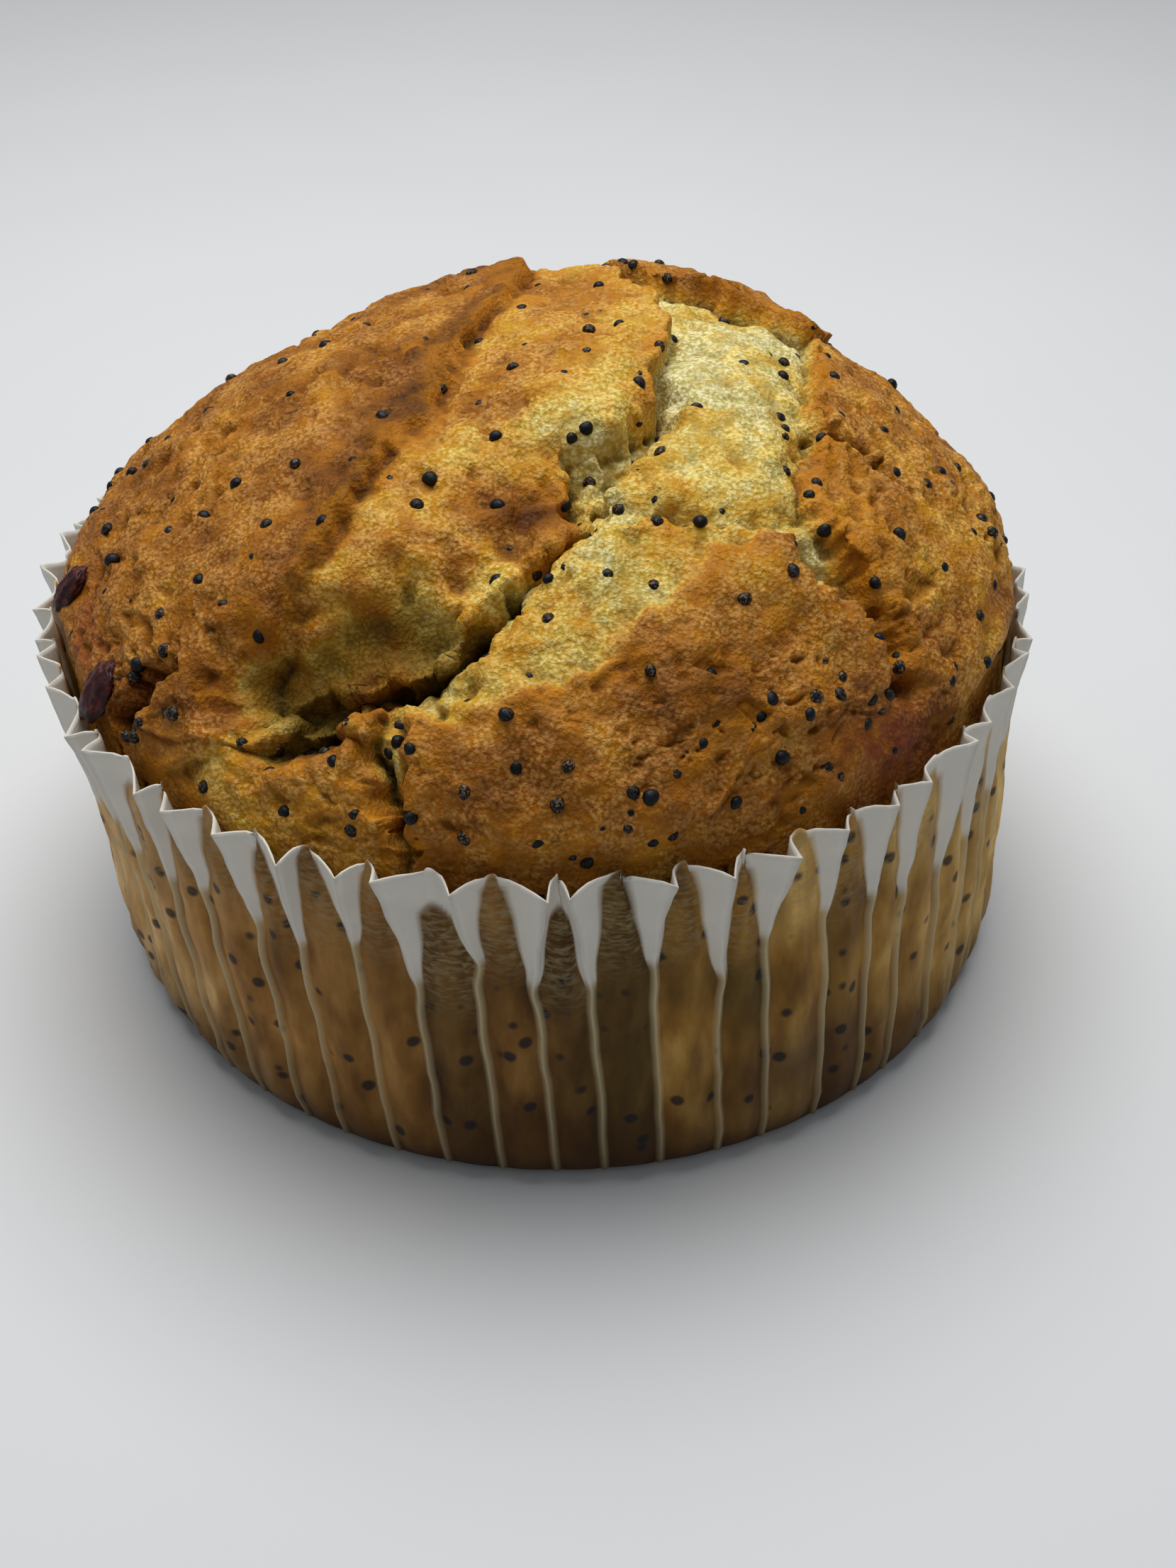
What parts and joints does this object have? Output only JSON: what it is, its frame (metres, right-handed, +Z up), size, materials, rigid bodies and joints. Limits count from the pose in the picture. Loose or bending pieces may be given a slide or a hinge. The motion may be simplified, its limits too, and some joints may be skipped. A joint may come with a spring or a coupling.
{
  "type": "muffin",
  "caption": "Jumbo poppy-seed muffin with a cracked golden dome and bits of dark red fruit, in a pleated white greaseproof paper case.",
  "frame": {"origin": "centre of the paper case's flat bottom, on the surface that the muffin stands on", "axes": "+Z up out of the dome, -Y towards the side with the deep crack, +X to the right of it"},
  "size_m": [0.0919, 0.0892, 0.0588],
  "materials": {
    "crust": "matte",
    "poppy_seed": "matte",
    "paper": "satin",
    "fruit": "satin"
  },
  "bodies": {
    "root": {"muffin": "crust", "paper_case": "paper", "fruit_bit_upper": "fruit", "fruit_bit_lower": "fruit"}
  },
  "joints": []
}
